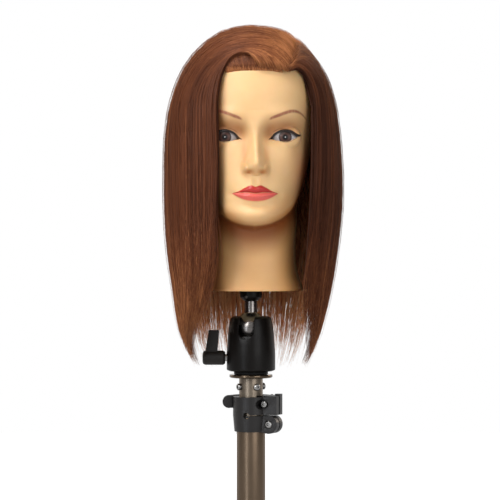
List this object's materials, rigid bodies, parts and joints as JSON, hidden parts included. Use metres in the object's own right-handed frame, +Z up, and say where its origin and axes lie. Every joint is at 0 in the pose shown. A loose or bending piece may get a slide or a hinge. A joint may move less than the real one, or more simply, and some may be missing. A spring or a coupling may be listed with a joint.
{
  "type": "mannequin training head",
  "caption": "Hairdressing practice head with long straight hair on a lockable ball head, a sliding column tube and a flip-lever clamp.",
  "frame": {"origin": "on the column's axis, at the lower end of the outer tube", "axes": "+Z up along the column, -Y the way the face looks (the face itself is turned 3 degrees towards +X on its post), +X to the right of somebody facing it"},
  "size_m": [0.1968, 0.2236, 0.55],
  "materials": {
    "anodised_tube": "satin",
    "black_alloy": "satin",
    "black_coat": "satin",
    "black_plastic": "satin",
    "chrome": "polished",
    "steel": "satin",
    "nylon": "satin",
    "vinyl_skin": "satin",
    "foam": "matte",
    "eye_acrylic": "gloss",
    "hair": "satin"
  },
  "bodies": {
    "foot": {"outer_tube": "anodised_tube", "top_bush": "nylon", "clamp_collar": "black_plastic", "lower_clamp_screw": "chrome", "lower_clamp_nut": "steel", "tension_bolt": "chrome", "cam_washer": "steel"},
    "flip_lever": {"flip_lever": "black_plastic", "lever_pin": "steel"},
    "column": {"inner_tube": "anodised_tube", "slide_shim": "nylon", "column_plug": "anodised_tube", "set_screw_1": "chrome", "set_screw_2": "chrome", "set_screw_3": "chrome", "set_screw_4": "chrome", "mount_bolt": "steel", "spacer": "black_alloy", "ball_housing": "black_alloy", "top_liner": "nylon", "seat_spring": "steel"},
    "lock_lever": {"lock_lever": "black_coat", "lock_spindle": "chrome", "lever_cap_screw": "chrome"},
    "clamp_plunger": {"clamp_plunger": "steel"},
    "ball_seat": {"seat_cup": "nylon"},
    "ball": {"ball_stem": "chrome", "neck_cone": "black_alloy", "cone_set_screw": "chrome", "neck_post": "black_plastic"},
    "head": {"neck_insert": "nylon", "foam_core": "foam", "head_shell": "vinyl_skin", "eye_left": "eye_acrylic", "eye_right": "eye_acrylic", "hair_crown": "hair", "hair_front_sweep": "hair", "hair_left_side": "hair", "hair_right_side": "hair", "hair_back_left": "hair", "hair_back_centre": "hair", "hair_back_right": "hair"}
  },
  "joints": [
    {"name": "flip_lever_swing", "type": "hinge", "parent": "foot", "child": "flip_lever", "pos_m": [0.02337, 0.00587, 0.131], "axis": [0, 0, -1], "range_deg": [0, 110]},
    {"name": "column_slide", "type": "slide", "parent": "foot", "child": "column", "axis": [0, 0, 1], "range_m": [-0.002, 0.06]},
    {"name": "lock_lever_turn", "type": "hinge", "parent": "column", "child": "lock_lever", "pos_m": [0, 0, 0.182], "axis": [-1, 0, 0], "range_deg": [0, 150]},
    {"name": "clamp_plunger_slide", "type": "slide", "parent": "column", "child": "clamp_plunger", "axis": [-1, 0, 0], "range_m": [0, 0.00053]},
    {"name": "ball_pan", "type": "hinge", "parent": "column", "child": "ball_seat", "pos_m": [0, 0, 0.216], "axis": [0, 0, 1], "continuous": true},
    {"name": "ball_tilt", "type": "hinge", "parent": "ball_seat", "child": "ball", "pos_m": [0, 0, 0.216], "axis": [1, 0, 0], "range_deg": [-20, 20]},
    {"name": "head_spin", "type": "hinge", "parent": "ball", "child": "head", "pos_m": [0, 0, 0.257], "axis": [0, 0, 1], "continuous": true}
  ],
  "couplings": [
    {"joint": "clamp_plunger_slide", "follows": "lock_lever_turn", "m_per_rad": 0.00019894}
  ]
}
